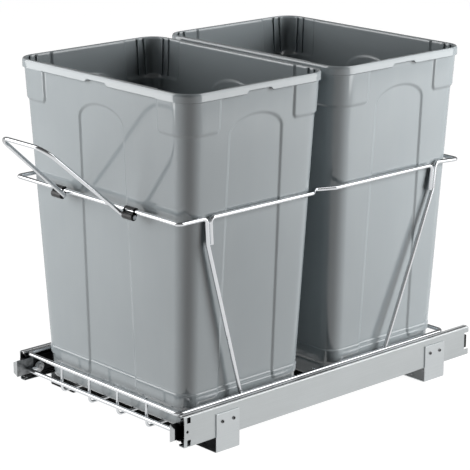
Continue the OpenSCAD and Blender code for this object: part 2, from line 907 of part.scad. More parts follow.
module bin(y) {
  color([0.6, 0.62, 0.64])
    translate([0, y, 0])
      difference() {
        union() {
          rim_band();
          form(0);
          pads(0);
        }
        form(bin_t);
        difference() {
          pads(bin_t);
          ribs();
        }
        translate([-bin_w, -bin_d, bin_top])
          cube([2 * bin_w, 2 * bin_d, past]);
      }
}

module left_cabinet_member() left_hand() cabinet_member();
module right_cabinet_member() cabinet_member();
module front_left_bracket() left_hand() bracket(-bracket_y);
module front_right_bracket() bracket(-bracket_y);
module rear_left_bracket() left_hand() bracket(bracket_y);
module rear_right_bracket() bracket(bracket_y);
module left_rear_stop() left_hand() rear_stop();
module right_rear_stop() rear_stop();
module left_outer_cage() left_hand() cage(outer_cage_x, outer_ball_x, outer_ball_z);
module left_outer_balls() left_hand() balls(outer_ball_x, outer_ball_z);
module right_outer_cage() cage(outer_cage_x, outer_ball_x, outer_ball_z);
module right_outer_balls() balls(outer_ball_x, outer_ball_z);
module left_intermediate_member() left_hand() intermediate_member();
module right_intermediate_member() intermediate_member();
module left_inner_cage() left_hand() cage(inner_cage_x, inner_ball_x, inner_ball_z);
module left_inner_balls() left_hand() balls(inner_ball_x, inner_ball_z);
module right_inner_cage() cage(inner_cage_x, inner_ball_x, inner_ball_z);
module right_inner_balls() balls(inner_ball_x, inner_ball_z);
module left_drawer_member() left_hand() drawer_member();
module right_drawer_member() drawer_member();
module lower_front_wire() lower_wire(rim_front, eye_front);
module lower_rear_wire() lower_wire(rim_rear, eye_rear);
module left_side_guard() left_hand() side_guard();
module right_side_guard() side_guard();
module left_handle_clip() left_hand() clip();
module right_handle_clip() clip();
module front_bin() bin(front_bin_y);
module rear_bin() bin(rear_bin_y);

left_cabinet_member();
right_cabinet_member();
front_left_bracket();
front_right_bracket();
rear_left_bracket();
rear_right_bracket();
slide_screws();
left_rear_stop();
right_rear_stop();
left_outer_cage();
left_outer_balls();
right_outer_cage();
right_outer_balls();
left_intermediate_member();
right_intermediate_member();
left_inner_cage();
left_inner_balls();
right_inner_cage();
right_inner_balls();
left_drawer_member();
right_drawer_member();
rim_wire();
lower_front_wire();
lower_rear_wire();
carriage_screws();
long_tray_wires();
cross_tray_wires();
front_guard();
rear_guard();
left_side_guard();
right_side_guard();
left_handle_clip();
right_handle_clip();
handle();
front_bin();
rear_bin();
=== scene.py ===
"""Looks of the pull out bin frame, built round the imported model. Metres, +Z up, front at -Y."""

import json
import math

import bmesh
import bpy
import numpy as np
from mathutils import Matrix, Vector

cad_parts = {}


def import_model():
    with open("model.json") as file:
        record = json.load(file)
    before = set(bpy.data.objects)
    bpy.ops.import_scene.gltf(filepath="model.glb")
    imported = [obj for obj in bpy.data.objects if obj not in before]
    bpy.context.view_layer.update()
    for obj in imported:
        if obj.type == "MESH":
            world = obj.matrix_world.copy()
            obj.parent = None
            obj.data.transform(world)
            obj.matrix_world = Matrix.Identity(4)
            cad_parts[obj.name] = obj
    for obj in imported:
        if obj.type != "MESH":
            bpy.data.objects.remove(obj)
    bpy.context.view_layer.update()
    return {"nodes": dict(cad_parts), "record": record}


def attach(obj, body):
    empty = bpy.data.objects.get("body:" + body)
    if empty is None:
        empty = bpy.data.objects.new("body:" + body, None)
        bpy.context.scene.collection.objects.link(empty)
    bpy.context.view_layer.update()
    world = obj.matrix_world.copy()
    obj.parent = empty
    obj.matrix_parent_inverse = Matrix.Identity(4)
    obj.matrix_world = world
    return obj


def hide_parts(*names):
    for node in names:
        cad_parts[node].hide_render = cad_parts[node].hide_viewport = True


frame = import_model()
nodes = frame["nodes"]
SLOT_OF = {row["node"]: row["material_slot"] for row in frame["record"]["subparts"]}
BODY_OF = {n: body for body, row in frame["record"]["behaviour"]["bodies"].items() for n in row}

MM = 0.001


# Sizes of the tray in millimetres

WIRE_D = 6.0
TRAY_D = 4.0
RIM_X = 164.5
RIM_Z = 63.5
RIM_FRONT = -276.0
RIM_REAR = 238.5
RIM_R = 8.0
LOWER_Z = 38.5
LOWER_R = 6.0
TRAY_Z = 24.9
TRAY_TOP = 66.8
TRAY_R = 6.0
TRAY_X = (-93.0, -31.0, 31.0, 93.0)
CROSS_X = 159.4
CROSS_Z = 29.0
CROSS_Y = (-159.0, -22.0, 115.0)
WELD = 5.1
WELD_GAP = 0.1
BEAD_L = 2.0
BEAD_R = 2.3
BEAD_SINK = 1.0

# Sizes of the eyes that hold the carriage, and of their screws, in millimetres

EYE_BACK = 20.0
EYE_D = 16.0
EYE_X = 164.8
EYE_TIP = 5.6
EYE_EDGE = 0.6
EYE_ROOM = 0.1
EYE_HEAD_D = 10.0
EYE_HEAD_H = 3.2
EYE_SCREW_D = 5.0
EYE_SCREW_L = 7.2
EYE_SOCKET_H = 2.0

# Sizes of the slides, the brackets and their screws in millimetres

DRAWER_IN = 167.8
DRAWER_FRONT = -294.0
NOSE_END = -265.5
SLIDE_X = 180.5
SLIDE_LOW = 21.2
SLIDE_HIGH = 64.8
SLIDE_MID = 43.0
SHEET = 1.2
SLIDE_BEND = 1.1
SLIDE_EDGE = 0.2
BRACKET_X = 182.5
BRACKET_Y = 204.0
BRACKET_EDGE = 0.6
CLIP_EDGE = 0.5
SCREW_GAP = 20.0
SCREW_D = 3.0
SCREW_L = 3.2
HEAD_D = 4.8
HEAD_H = 1.3
SOCKET_D = 3.0
SOCKET_H = 0.8
SOCKET_EDGE = 0.1
SOCKET_POINT = 0.2
SHANK_TIP = 0.3

# Sizes of the guards and the handle in millimetres, and the handle's lean in degrees

GUARD_X = 172.5
GUARD_Z = 324.0
GUARD_FRONT = -279.0
GUARD_REAR = 251.0
DROP_Z = 288.0
FOOT_Z = 67.7
DROP_R = 7.0
LEG_R = 24.0
GUARD_R = 6.0
FRONT_LEG = (-166.0, -230.0, -232.0)
REAR_LEG = (117.0, 199.5, 204.5)
REAR_RISE = 3.0
DIP = (-40.0, -26.0, 4.0)
DIP_IN = 13.0
PIVOT = (0.0, -282.2, 317.2)
HANDLE_UP = 41.8
HANDLE_L = 154.0
HANDLE_LOW = 60.0
HANDLE_TOP = 49.0
HANDLE_OUT = 88.0
HANDLE_R = 5.0
GRIP_R = 24.0

# Sizes of the bins in millimetres

BIN_W = 363.0
BIN_D = 255.0
BIN_Z = 31.2
BIN_TOP = 491.2
BIN_T = 2.5
FRONT_BIN_Y = -146.6
REAR_BIN_Y = 124.8
OVER_X = 3.6
OVER_Y = 5.3
TAPER_X = 27.4
TAPER_Y = 16.0
CORNER_TOP = 25.5
CORNER_LOW = 23.0
BAND_H = 12.3
BAND_R = 30.0
BAND_T = 2.2
BAND_EDGE = 0.7
BAND_SIDE = 1.5
BAND_CLEAR = 0.3
GROOVE_DROP = 0.6
GROOVE_R = 0.8
NOTCH_W = 39.0
NOTCH_H = 4.0
PAD_W = 62.0
PAD_Z = 433.7
PAD_OUT = 2.4
PAD_R = 8.0
PAD_FULL_Z = PAD_Z + 40.0
PAD_MARGIN = 4.0
RIB_W = 2.6
RIB_PLACES = (25.0, 37.0)
RIB_HEIGHTS = (PAD_Z + 3.0, PAD_Z + 22.0, BIN_TOP - 14.0, BIN_TOP - 1.2)
RIB_OUT = PAD_OUT - BIN_T + 0.8
ARCH_TOP = 46.0
ARCH_LOW = 50.0
SPRING_Z = 426.7
ARCH_RISE = 24.0
PANEL_IN = 2.0
INNER_PANEL = 1.0
STEP_Z = 77.2
STEP_H = 1.8
STEP_OUT = 1.0
SECOND_STEP_Z = 71.5
SECOND_STEP_OUT = 0.8
FRONT_FOOT_Z = 58.0
SIDE_FOOT_Z = 66.0
FOOT_R = 10.0
EDGE_W = 4.4
FLOOR_BEVEL = 4.0
INNER_LOW = 14.0
INNER_R = 11.0
INNER_FLAT = 0.5

# Areas of painted shade and painted highlight on the zinc plate, in millimetres

# Bands of painted shade across the upper flange, for the gap beside it and its bend.
SHADE_LINES = ((168.0, 171.0), (175.2, 177.8))
LINE_SOFT = 0.2
AREA_SOFT = 0.1
NOSE_SOFT = 1.0
FLANGE_BELOW = (0.8, 0.4)
FOOT_ABOVE = (2.6, 2.2)
FOOT_IN = (1.5, 2.5)

# Steps in round forms, with a bead's half arc in radians and a bend's step in degrees

WIRE_SIDES = 20
TRAY_SIDES = 16
BEAD_SIDES = 14
BEAD_RINGS = 9
BEAD_ARC = 1.45
SCREW_SIDES = 48
EYE_SIDES = 40
BEND_STEPS = 5
EDGE_STEPS = 2
CORNER_STEPS = 16
BEVEL_STEPS = 6
INNER_FLOOR_STEPS = 6
TURN_STEP = 7.5

# Angles in degrees past which an edge stays sharp

SHARP_WIRE = 50
SHARP_FORM = 35
SHARP_EYE = 40
SHARP_SHEET = 50
SHARP_BIN = 70


# Shader sums

class Val:
    """One output in a node tree, which can be used in sums."""

    def __init__(self, sums, socket):
        self.sums = sums
        self.socket = socket

    def _math(self, operation, a, b):
        return self.sums.node("ShaderNodeMath", {"operation": operation}, {0: a, 1: b})

    def __add__(self, other):
        return self._math("ADD", self, other)

    def __radd__(self, other):
        return self._math("ADD", other, self)

    def __sub__(self, other):
        return self._math("SUBTRACT", self, other)

    def __rsub__(self, other):
        return self._math("SUBTRACT", other, self)

    def __mul__(self, other):
        return self._math("MULTIPLY", self, other)

    def __rmul__(self, other):
        return self._math("MULTIPLY", other, self)

    def __abs__(self):
        return self._math("ABSOLUTE", self, 0.0)


class Sums:
    """An emptied shader tree and the nodes that are used in it."""

    def __init__(self, tree):
        self.tree = tree
        tree.nodes.clear()

    def join(self, socket, value):
        if isinstance(value, Val):
            self.tree.links.new(value.socket, socket)
        else:
            socket.default_value = value

    def node(self, kind, settings=None, inputs=None, out=0):
        made = self.tree.nodes.new(kind)
        for key, value in (settings or {}).items():
            setattr(made, key, value)
        for key, value in (inputs or {}).items():
            self.join(made.inputs[key], value)
        return Val(self, made.outputs[out])

    def axes(self, space="Object"):
        here = self.node("ShaderNodeTexCoord", None, None, space)
        parts = self.node("ShaderNodeSeparateXYZ", None, {0: here}).socket.node
        return [Val(self, out) for out in parts.outputs]

    def ray(self, kind):
        return self.node("ShaderNodeLightPath", None, None, kind)

    def level(self, factor, a, b):
        return self.node("ShaderNodeMix", None, {0: factor, 2: a, 3: b})

    def between(self, value, low, high):
        """0 at the low limit and beyond it, 1 at the high one and beyond it."""
        return self.node("ShaderNodeMapRange", {"clamp": True},
                         {"Value": value, "From Min": low, "From Max": high})

    def inside(self, places, low, high, soft):
        """1 where each place lies between its low and high limit, 0 elsewhere."""
        share = 1.0
        for place, a, b in zip(places, low, high):
            share = self.between(place, a - soft, a + soft) * share
            share = self.between(place, b + soft, b - soft) * share
        return share


class Finish(Sums):
    """A material on one principled shader. Constant values are set on the shader itself."""

    def __init__(self, name, **constants):
        self.material = bpy.data.materials.new(name)
        self.material.use_nodes = True
        super().__init__(self.material.node_tree)
        self.shader = self.tree.nodes.new("ShaderNodeBsdfPrincipled")
        self.surface = self.tree.nodes.new("ShaderNodeOutputMaterial").inputs["Surface"]
        self.tree.links.new(self.shader.outputs[0], self.surface)
        for key, value in constants.items():
            self.shader.inputs[key.replace("_", " ")].default_value = value

    def set(self, socket, value):
        self.join(self.shader.inputs[socket], value)

    def noise(self, scale, detail, rough=0.5, stretch=(1.0, 1.0, 1.0)):
        here = self.node("ShaderNodeTexCoord", None, None, "Object")
        place = self.node("ShaderNodeMapping", None, {"Vector": here, "Scale": stretch})
        sizes = {"Vector": place, "Scale": scale, "Detail": detail, "Roughness": rough}
        return self.node("ShaderNodeTexNoise", None, sizes, "Fac")

    def mark(self, name):
        """A value that the mesh has at each of its points."""
        return self.node("ShaderNodeAttribute", {"attribute_name": name}, None, "Fac")

    def mix(self, factor, a, b):
        return self.node("ShaderNodeMix", {"data_type": "RGBA"}, {0: factor, 6: a, 7: b}, 2)

    def bump(self, height, strength, distance):
        sizes = {"Height": height, "Strength": strength, "Distance": distance}
        self.set("Normal", self.node("ShaderNodeBump", None, sizes, "Normal"))


def either(a, b):
    """Share of what lies in one area, in the other or in both."""
    return a + b - a * b


def linear(r, g, b):
    """An sRGB colour of 0 to 255 as the shader takes it."""
    def one(c):
        c = c / 255
        return c / 12.92 if c <= 0.04045 else ((c + 0.055) / 1.055) ** 2.4
    return (one(r), one(g), one(b), 1.0)


# Finishes

PLATE_METAL = 0.95
FLANGE_METAL = 0.3
# Share of the painted shade that the rear brackets' feet get.
REAR_SHADE = 0.2
INNER_MATT = 0.15


def bin_plastic():
    """Smooth grey plastic, more matt on the inner walls, whose colour is darker there as painted shade.
    """
    f = Finish("bin_plastic", IOR=1.5, Specular_IOR_Level=1.0)
    inside = f.mark("inside")
    cloud = f.noise(7.0, 3.0)
    grain = f.noise(900.0, 2.0)
    flow = f.noise(30.0, 3.0, 0.6, (1.0, 1.0, 0.15))
    patches = f.between(cloud, 0.3, 0.7)
    tone = f.mix(patches, linear(147, 154, 157), linear(153, 160, 163))
    outer = f.mix(f.between(flow, 0.35, 0.75) * 0.35, tone, linear(143, 151, 155))
    # The darker inner tones are painted shade.
    inner = f.mix(patches, linear(125, 132, 135), linear(130, 137, 140))
    f.set("Base Color", f.mix(inside, outer, inner))
    f.set("Roughness", 0.05 + 0.03 * cloud + 0.02 * grain + INNER_MATT * inside)
    f.bump(grain * 0.6 + flow * 0.4, 0.05, 0.0004)
    return f.material


def chromed_wire():
    f = Finish("chromed_wire", Metallic=1.0)
    haze = f.noise(60.0, 3.0)
    fine = f.noise(700.0, 2.0)
    f.set("Base Color", f.mix(haze, linear(206, 209, 212), linear(220, 222, 224)))
    f.set("Roughness", 0.04 + 0.04 * f.between(haze, 0.4, 0.8))
    f.bump(fine, 0.03, 0.0003)
    return f.material


def inside_slides(f, x, y, z):
    """1 on the inner faces of the slides, which are painted dark as shade, 0 on the faces that a hand
    can reach.
    """
    tab = DRAWER_FRONT + SHEET
    behind_tab = f.between(y, (tab - 3 * AREA_SOFT) * MM, (tab - AREA_SOFT) * MM)
    low = ((DRAWER_IN + 2 * AREA_SOFT) * MM, (SLIDE_LOW + SHEET + AREA_SOFT) * MM)
    high = ((SLIDE_X - SHEET - AREA_SOFT) * MM, (SLIDE_HIGH - SHEET - AREA_SOFT) * MM)
    return f.inside((abs(x), z), low, high, AREA_SOFT * MM) * behind_tab


def flange_tone(f, x):
    """Pale plate as a painted highlight, with dark lines as painted shade, as on the upper flange of a
    slide.
    """
    lines = 0.0
    for a, b in SHADE_LINES:
        lines = f.inside((abs(x),), (a * MM,), (b * MM,), LINE_SOFT * MM) + lines
    return f.mix(lines, linear(222, 224, 225), linear(70, 72, 73))


def web_tone(f, x, plate):
    """The plate darkened on a drawer member's web, mottled, as painted shade."""
    web = f.between(abs(x), (DRAWER_IN + 3 * AREA_SOFT) * MM, (DRAWER_IN + AREA_SOFT) * MM)
    cloud = f.between(f.noise(110.0, 4.0), 0.35, 0.65)
    return f.mix(web, plate, f.mix(cloud, linear(96, 98, 99), linear(150, 152, 153)))


def shaded_feet(f, x, y, z):
    """1 on the feet of the front brackets, less on those of the rear ones, 0 elsewhere: where shade is
    painted.
    """
    low = f.between(z, FOOT_ABOVE[0] * MM, FOOT_ABOVE[1] * MM)
    inner = f.between(abs(x), (BRACKET_X - FOOT_IN[0]) * MM, (BRACKET_X - FOOT_IN[1]) * MM)
    front = f.between(y, 0.0, -BRACKET_Y / 2 * MM)
    return low * inner * (REAR_SHADE + (1 - REAR_SHADE) * front)


def zinc_sheet(name, low, high, drawer=False):
    """Zinc plate with a duller upper flange, painted pale as a highlight and with lines of painted
    shade, and with painted shade on the inner faces and on the brackets' feet.

    A drawer member has painted shade on its web too, and behind its nose.
    """
    f = Finish(name)
    rolled = f.noise(260.0, 3.0, 0.6, (4.0, 0.05, 4.0))
    cloud = f.noise(14.0, 3.0)
    speck = f.noise(900.0, 2.0)
    x, y, z = f.axes()
    plate = f.mix(f.between(rolled * 0.6 + cloud * 0.4, 0.3, 0.7), low, high)
    flange = f.between(z, (SLIDE_HIGH - FLANGE_BELOW[0]) * MM, (SLIDE_HIGH - FLANGE_BELOW[1]) * MM)
    # The upper flange is painted pale as a highlight, with lines of painted shade.
    plate = f.mix(flange, plate, flange_tone(f, x))
    # Painted shade on the slides' inner faces, and on a drawer member behind its nose; with the feet it
    # is mixed to near black.
    painted_shade = inside_slides(f, x, y, z)
    if drawer:
        plate = web_tone(f, x, plate)
        painted_shade = either(painted_shade, f.between(y, (NOSE_END - NOSE_SOFT) * MM, (NOSE_END + NOSE_SOFT) * MM))
    dark = either(painted_shade, shaded_feet(f, x, y, z))
    f.set("Base Color", f.mix(dark, plate, linear(40, 41, 42)))
    f.set("Metallic", PLATE_METAL - (PLATE_METAL - FLANGE_METAL) * flange)
    f.set("Roughness", 0.3 + 0.08 * rolled + 0.04 * cloud)
    f.bump(rolled * 0.7 + speck * 0.3, 0.05, 0.0003)
    return f.material


def clip_plastic():
    f = Finish("clip_plastic", IOR=1.5)
    grain = f.noise(800.0, 3.0)
    f.set("Base Color", f.mix(grain, linear(14, 14, 15), linear(26, 26, 28)))
    f.set("Roughness", 0.3 + 0.2 * grain)
    f.bump(grain, 0.15, 0.0004)
    return f.material


def stop_rubber():
    f = Finish("stop_rubber", IOR=1.48)
    grain = f.noise(500.0, 4.0)
    f.set("Base Color", f.mix(grain, linear(18, 18, 18), linear(36, 36, 36)))
    f.set("Roughness", 0.6 + 0.25 * grain)
    f.bump(grain, 0.3, 0.0005)
    return f.material


def bare_steel(name, low, high, rough):
    f = Finish(name, Metallic=1.0)
    fine = f.noise(400.0, 3.0)
    worn = f.noise(40.0, 3.0)
    f.set("Base Color", f.mix(worn, low, high))
    f.set("Roughness", rough + 0.12 * fine)
    f.bump(fine, 0.06, 0.0003)
    return f.material


def screw_zinc():
    """Dull zinc, darker the more a point is marked as hollow: black in the socket as painted shade, and
    darker on the head.
    """
    f = Finish("screw_steel", Metallic=0.7)
    fine = f.noise(400.0, 3.0)
    worn = f.noise(160.0, 3.0)
    metal = f.mix(f.between(worn, 0.3, 0.7), linear(190, 192, 194), linear(226, 227, 228))
    f.set("Base Color", f.mix(f.mark("hollow"), metal, linear(10, 10, 10)))
    f.set("Roughness", 0.35 + 0.15 * fine)
    f.bump(worn, 0.2, 0.0004)
    return f.material


FINISHES = {
    "bin_plastic": bin_plastic(),
    "chromed_wire": chromed_wire(),
    "zinc_sheet": zinc_sheet("zinc_sheet", linear(183, 187, 188), linear(193, 197, 198)),
    "bracket_zinc": zinc_sheet("bracket_zinc", linear(193, 197, 199), linear(202, 206, 207)),
    "drawer_zinc": zinc_sheet("drawer_zinc", linear(176, 179, 180), linear(190, 193, 194), True),
    "clip_plastic": clip_plastic(),
    "stop_rubber": stop_rubber(),
    "ball_steel": bare_steel("ball_steel", linear(205, 207, 210), linear(230, 231, 233), 0.08),
    "cage_steel": bare_steel("cage_steel", linear(80, 82, 84), linear(110, 112, 114), 0.35),
    "screw_steel": screw_zinc(),
}


# Pieces

def finished(name, mesh, body, slot, *replaced):
    """Puts a mesh in the scene as a piece that rides on a body and stands for CAD nodes."""
    piece = bpy.data.objects.new(name, mesh)
    bpy.context.scene.collection.objects.link(piece)
    if not mesh.materials:
        mesh.materials.append(FINISHES[slot])
    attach(piece, body)
    if replaced:
        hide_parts(*replaced)


def mesh_of(name, points, faces):
    mesh = bpy.data.meshes.new(name)
    mesh.from_pydata([tuple(c * MM for c in p) for p in points], [], faces)
    mesh.update()
    return mesh


def smoothed(mesh, sharp):
    """Shades a mesh smooth, apart from its edges past the sharp angle."""
    mesh.polygons.foreach_set("use_smooth", [True] * len(mesh.polygons))
    mesh.set_sharp_from_angle(angle=math.radians(sharp))


def marked(mesh, name, values):
    """Gives each point of a mesh a value for its finish to read."""
    marks = mesh.attributes.new(name, "FLOAT", "POINT")
    marks.data.foreach_set("value", values)


def ring_faces(rings, sides):
    """Faces between closed rings of points in a row, with one face over each end."""
    faces = [tuple(reversed(range(sides)))]
    last = (rings - 1) * sides
    for a in range(0, last, sides):
        for j in range(sides):
            k = (j + 1) % sides
            faces.append((a + j, a + k, a + sides + k, a + sides + j))
    faces.append(tuple(range(last, last + sides)))
    return faces


def bent(points, radii, closed=False):
    """The points of a wire with a round bend at each corner, as one polyline."""
    p = [Vector(q) for q in points]
    n = len(p)
    line = []
    for i in range(n):
        if not closed and i in (0, n - 1):
            line.append(p[i])
            continue
        a, b, c = p[i - 1], p[i], p[(i + 1) % n]
        u = (b - a).normalized()
        w = (c - b).normalized()
        angle = u.angle(w)
        r = radii[i]
        centre = b + (w - u).normalized() * r / math.cos(angle / 2)
        arm = b - u * r * math.tan(angle / 2) - centre
        axis = u.cross(w).normalized()
        steps = max(3, math.ceil(math.degrees(angle) / TURN_STEP))
        for k in range(steps + 1):
            line.append(centre + Matrix.Rotation(angle * k / steps, 3, axis) @ arm)
    return line


def new_group(name, inputs, output):
    """An empty geometry node group with its sockets, its input node and its output node."""
    tree = bpy.data.node_groups.new(name, "GeometryNodeTree")
    for key, kind in inputs.items():
        tree.interface.new_socket(key, in_out="INPUT", socket_type="NodeSocket" + kind)
    tree.interface.new_socket(output, in_out="OUTPUT", socket_type="NodeSocketGeometry")
    return tree, tree.nodes.new("NodeGroupInput"), tree.nodes.new("NodeGroupOutput")


def close_group(tree, shape, material, end):
    """Gives a shape to the group's output as one mesh with its material."""
    whole = tree.nodes.new("GeometryNodeRealizeInstances")
    paint = tree.nodes.new("GeometryNodeSetMaterial")
    paint.inputs["Material"].default_value = material
    tree.links.new(shape, whole.inputs["Geometry"])
    tree.links.new(whole.outputs["Geometry"], paint.inputs["Geometry"])
    tree.links.new(paint.outputs["Geometry"], end.inputs[0])


def wire_tree(material):
    """Geometry nodes that draw every edge line as a round wire."""
    inputs = {"Lines": "Geometry", "Diameter": "Float", "Sides": "Int"}
    tree, start, end = new_group("round_wire", inputs, "Wire")
    make = tree.nodes.new
    link = tree.links.new
    half = make("ShaderNodeMath")
    half.operation = "MULTIPLY"
    half.inputs[1].default_value = 0.5
    lines = make("GeometryNodeMeshToCurve")
    ring = make("GeometryNodeCurvePrimitiveCircle")
    sweep = make("GeometryNodeCurveToMesh")
    sweep.inputs["Fill Caps"].default_value = True
    link(start.outputs["Diameter"], half.inputs[0])
    link(start.outputs["Lines"], lines.inputs["Mesh"])
    link(start.outputs["Sides"], ring.inputs["Resolution"])
    link(half.outputs[0], ring.inputs["Radius"])
    link(lines.outputs["Curve"], sweep.inputs["Curve"])
    link(ring.outputs["Curve"], sweep.inputs["Profile Curve"])
    close_group(tree, sweep.outputs["Mesh"], material, end)
    return tree


def spread_tree(name, material):
    """Geometry nodes that set one form on every point, turned as the point's own turn says."""
    tree, start, end = new_group(name, {"Places": "Geometry", "Form": "Object"}, "Forms")
    make = tree.nodes.new
    link = tree.links.new
    form = make("GeometryNodeObjectInfo")
    turn = make("GeometryNodeInputNamedAttribute")
    turn.data_type = "FLOAT_VECTOR"
    turn.inputs["Name"].default_value = "turn"
    forms = make("GeometryNodeInstanceOnPoints")
    link(start.outputs["Form"], form.inputs["Object"])
    link(start.outputs["Places"], forms.inputs["Points"])
    link(form.outputs["Geometry"], forms.inputs["Instance"])
    link(turn.outputs[0], forms.inputs["Rotation"])
    close_group(tree, forms.outputs["Instances"], material, end)
    return tree


def taken(name, holder):
    """The mesh of an object with its modifiers run. The object is removed."""
    shown = holder.evaluated_get(bpy.context.evaluated_depsgraph_get())
    mesh = bpy.data.meshes.new_from_object(shown)
    mesh.name = name
    bpy.data.objects.remove(holder)
    return mesh


def grown(name, source, tree, values):
    """Runs a node tree on a mesh and gives the result as a plain mesh."""
    holder = bpy.data.objects.new(name + "_lines", source)
    bpy.context.scene.collection.objects.link(holder)
    step = holder.modifiers.new("grow", "NODES")
    step.node_group = tree
    keys = {s.name: s.identifier for s in tree.interface.items_tree if s.in_out == "INPUT"}
    for key, value in values.items():
        step[keys[key]] = value
    return taken(name, holder)


def wire_mesh(name, lines, diameter, sides, closed=False):
    points = []
    edges = []
    for line in lines:
        first = len(points)
        points += [tuple(p * MM) for p in line]
        edges += [(i, i + 1) for i in range(first, len(points) - 1)]
        if closed:
            edges.append((len(points) - 1, first))
    source = bpy.data.meshes.new(name)
    source.from_pydata(points, edges, [])
    return grown(name, source, WIRE_TREE, {"Diameter": diameter * MM, "Sides": sides})


def wires(name, lines, body, node, diameter=WIRE_D, sides=WIRE_SIDES, closed=False):
    mesh = wire_mesh(name, lines, diameter, sides, closed)
    smoothed(mesh, SHARP_WIRE)
    finished(name, mesh, body, "chromed_wire", node)


WIRE_TREE = wire_tree(FINISHES["chromed_wire"])
BEAD_TREE = spread_tree("weld_beads", FINISHES["chromed_wire"])
SCREW_TREE = spread_tree("set_screws", FINISHES["screw_steel"])


def mirrored(points):
    return [(-x, y, z) for x, y, z in reversed(points)]


def tray():
    corners = [(RIM_X, RIM_FRONT, RIM_Z), (RIM_X, RIM_REAR, RIM_Z),
               (-RIM_X, RIM_REAR, RIM_Z), (-RIM_X, RIM_FRONT, RIM_Z)]
    rim = bent(corners, [RIM_R] * 4, True)
    wires("rim_wire_bent", [rim], "carriage", "rim_wire", closed=True)
    y0 = RIM_FRONT + WELD
    y1 = RIM_REAR - WELD
    radii = [0, TRAY_R, TRAY_R, 0]
    long_lines = [
        bent([(x, y0, TRAY_TOP), (x, y0, TRAY_Z), (x, y1, TRAY_Z), (x, y1, TRAY_TOP)], radii)
        for x in TRAY_X
    ]
    wires("long_tray_wires_bent", long_lines, "carriage", "long_tray_wires", TRAY_D, TRAY_SIDES)
    cross_lines = [
        bent([(CROSS_X, y, TRAY_TOP), (CROSS_X, y, CROSS_Z),
              (-CROSS_X, y, CROSS_Z), (-CROSS_X, y, TRAY_TOP)], radii)
        for y in CROSS_Y
    ]
    wires("cross_tray_wires_bent", cross_lines, "carriage", "cross_tray_wires", TRAY_D, TRAY_SIDES)


def guard(name, leg, top_y, rise, node):
    foot, mid, top = leg
    side = [(RIM_X, foot, FOOT_Z), (GUARD_X, mid, DROP_Z),
            (GUARD_X, top, GUARD_Z + rise), (GUARD_X, top_y, GUARD_Z)]
    radii = [0, LEG_R, DROP_R, GUARD_R]
    wires(name, [bent(side + mirrored(side), radii + radii[::-1])], "carriage", node)


def stub(mid, top, height, way):
    """Place of a side guard's stub beside a leg, and its lean."""
    lean = (top - mid) / height
    gap = (WIRE_D + WELD_GAP) / math.cos(math.atan(lean))
    return mid + way * gap, lean


def side_guards():
    drop = GUARD_Z - DROP_Z
    front, front_lean = stub(FRONT_LEG[1], FRONT_LEG[2], drop, 1)
    rear, rear_lean = stub(REAR_LEG[1], REAR_LEG[2], GUARD_Z + REAR_RISE - DROP_Z, -1)
    line = [
        (GUARD_X, front, DROP_Z), (GUARD_X, front + front_lean * drop, GUARD_Z),
        (GUARD_X, DIP[0], GUARD_Z), (GUARD_X - DIP_IN, DIP[1], GUARD_Z),
        (GUARD_X, DIP[2], GUARD_Z), (GUARD_X, rear + rear_lean * drop, GUARD_Z),
        (GUARD_X, rear, DROP_Z)
    ]
    radii = [0, DROP_R, DROP_R, DROP_R, DROP_R, DROP_R, 0]
    wires("right_side_guard_bent", [bent(line, radii)], "carriage", "right_side_guard")
    wires("left_side_guard_bent", [bent(mirrored(line), radii)], "carriage", "left_side_guard")


def handle():
    swing = Matrix.Rotation(math.radians(180 - HANDLE_UP), 3, "X")
    side = [(HANDLE_OUT, 0, 0), (HANDLE_LOW, 0, 0), (HANDLE_TOP, HANDLE_L, 0)]
    radii = [0, HANDLE_R, GRIP_R]
    points = [swing @ Vector(p) + Vector(PIVOT) for p in side + mirrored(side)]
    wires("handle_bent", [bent(points, radii + radii[::-1])], "handle", "handle")


def corner_radius(angle, radius, corners):
    """Radius of a round form, or of one with flat sides and this many corners."""
    if not corners:
        return radius
    part = 2 * math.pi / corners
    return radius * math.cos(part / 2) / math.cos(angle % part - part / 2)


def turned(rings, sides):
    """Points and faces of a form along X, from rings of place, radius and number of corners."""
    points = []
    for x, radius, corners in rings:
        for k in range(sides):
            a = 2 * math.pi * k / sides
            r = corner_radius(a, radius, corners)
            points.append((x, r * math.cos(a), r * math.sin(a)))
    return points, ring_faces(len(rings), sides)


def repeated(name, form, places, tree, slot, body, *replaced):
    """Sets a form on each place, turned about Z by the angle that goes with it."""
    points, faces, *hollow = form
    model = bpy.data.objects.new(name + "_form", mesh_of(name + "_form", points, faces))
    if hollow:
        marked(model.data, "hollow", hollow[0])
    bpy.context.scene.collection.objects.link(model)
    source = bpy.data.meshes.new(name + "_places")
    source.from_pydata([tuple(c * MM for c in p) for p, _ in places], [], [])
    turns = source.attributes.new("turn", "FLOAT_VECTOR", "POINT")
    turns.data.foreach_set("vector", [c for _, a in places for c in (0.0, 0.0, a)])
    mesh = grown(name, source, tree, {"Form": model})
    bpy.data.objects.remove(model)
    smoothed(mesh, SHARP_FORM)
    finished(name, mesh, body, slot, *replaced)


